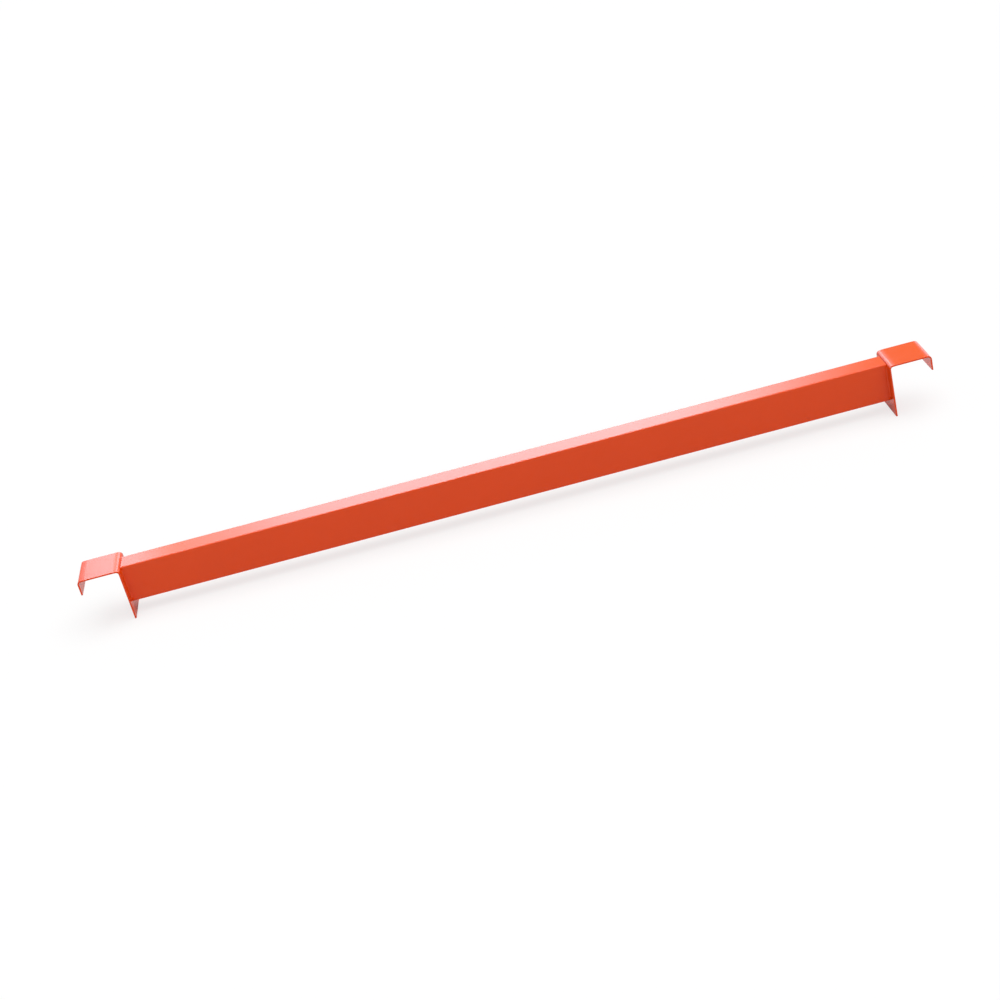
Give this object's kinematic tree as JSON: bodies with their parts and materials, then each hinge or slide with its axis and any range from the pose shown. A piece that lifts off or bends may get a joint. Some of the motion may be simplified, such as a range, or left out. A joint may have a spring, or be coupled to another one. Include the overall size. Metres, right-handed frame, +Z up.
{
  "type": "pallet support bar",
  "caption": "Rectangular steel tube with a folded strip hook at each end, laid across a pallet rack from front beam to back beam to carry pallets.",
  "frame": {"origin": "mid-length and mid-width of the tube's top face, level with the tops of the rack beams that the hooks sit on", "axes": "+X along the tube from the left hook to the right hook; +Y across the tube, from front to back; +Z up"},
  "size_m": [1.0944, 0.054, 0.07],
  "materials": {
    "orange_powder_coat": "smooth, glossy orange-red powder coat over steel"
  },
  "bodies": {
    "root": {"tube": "orange_powder_coat", "left_hook": "orange_powder_coat", "right_hook": "orange_powder_coat", "left_front_weld": "orange_powder_coat", "left_back_weld": "orange_powder_coat", "right_front_weld": "orange_powder_coat", "right_back_weld": "orange_powder_coat"}
  },
  "joints": []
}
